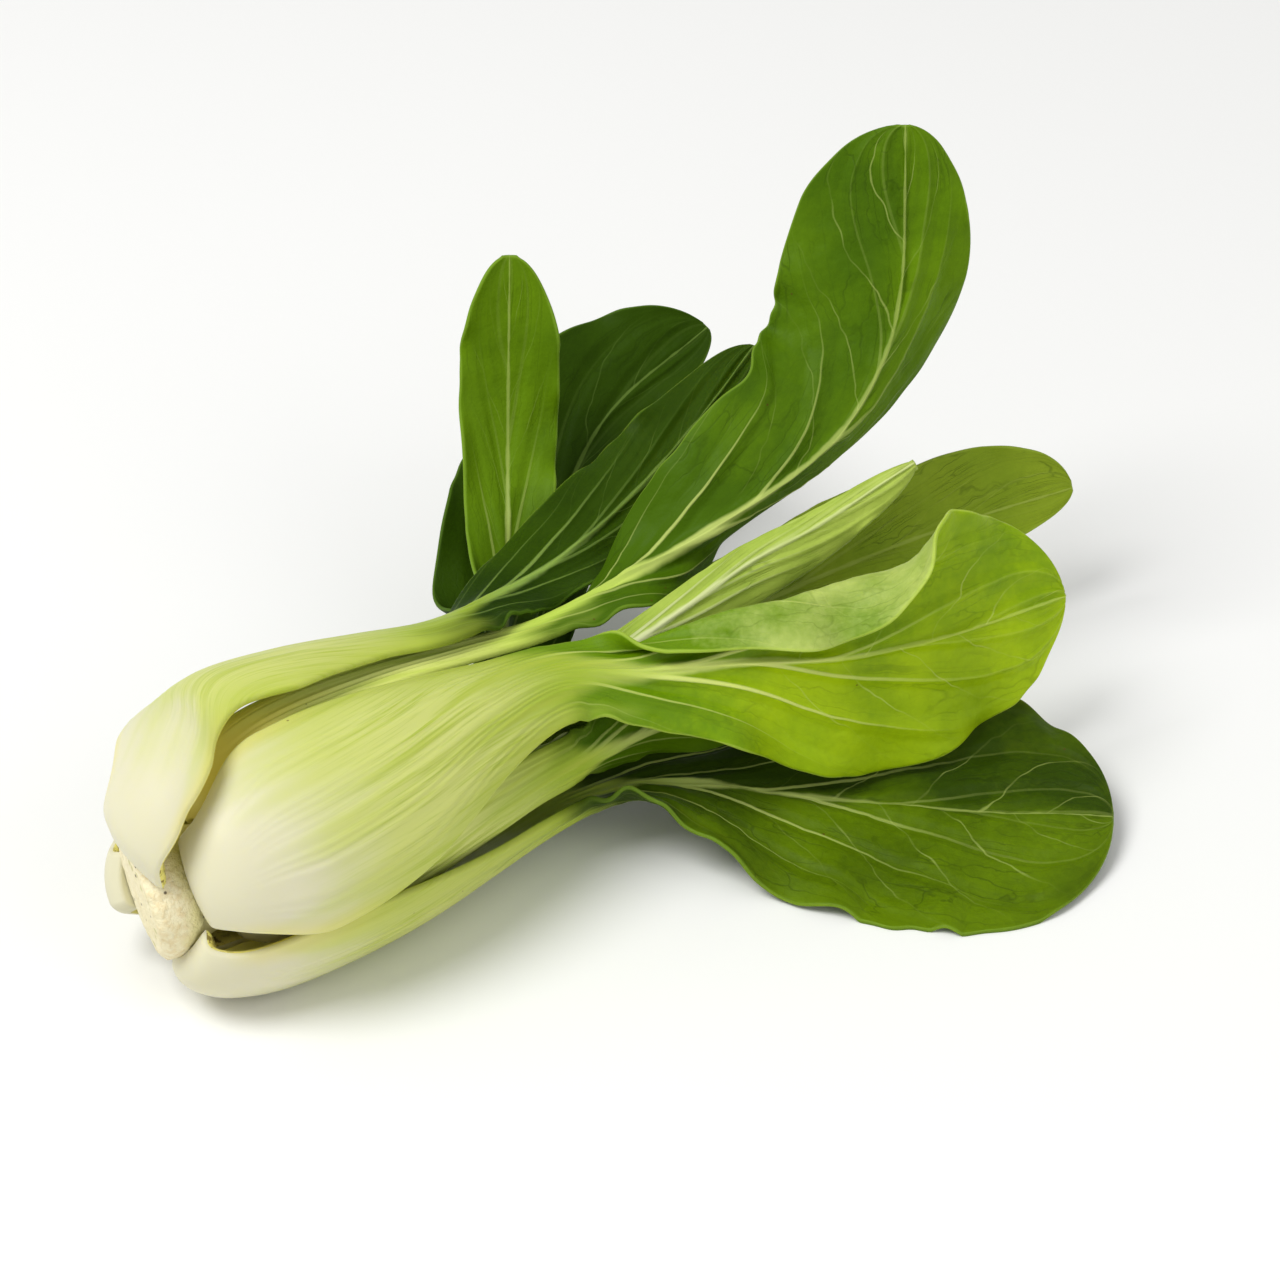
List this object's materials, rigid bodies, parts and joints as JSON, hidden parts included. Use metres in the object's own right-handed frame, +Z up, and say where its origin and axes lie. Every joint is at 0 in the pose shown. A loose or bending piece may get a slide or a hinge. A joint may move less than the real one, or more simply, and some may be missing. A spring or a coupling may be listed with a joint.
{
  "type": "bok choy",
  "caption": "Head of baby bok choy lying on its side, with a cut stump, pale ribbed stalks that wrap into a bulb, and green blades that spread out past the neck.",
  "frame": {"origin": "middle of the bounding box in plan, on the surface the head lies on", "axes": "+X from the cut stump towards the blade tips, +Z up from the surface, the big front blade spreads towards -Y"},
  "size_m": [0.1884, 0.1334, 0.0954],
  "materials": {
    "leaf": "waxy, satin. Cream at the foot of the stalk, light green at the neck, dark green in the blade",
    "crown": "matte, rough cut stump"
  },
  "bodies": {
    "root": {"crown": "crown", "leaf_outer_front": "leaf", "leaf_outer_top": "leaf", "leaf_outer_back": "leaf", "leaf_middle_front": "leaf", "leaf_middle_back": "leaf", "leaf_middle_under": "leaf", "leaf_inner_front": "leaf", "leaf_inner_upright": "leaf", "leaf_inner_back": "leaf", "leaf_heart": "leaf"}
  },
  "joints": []
}
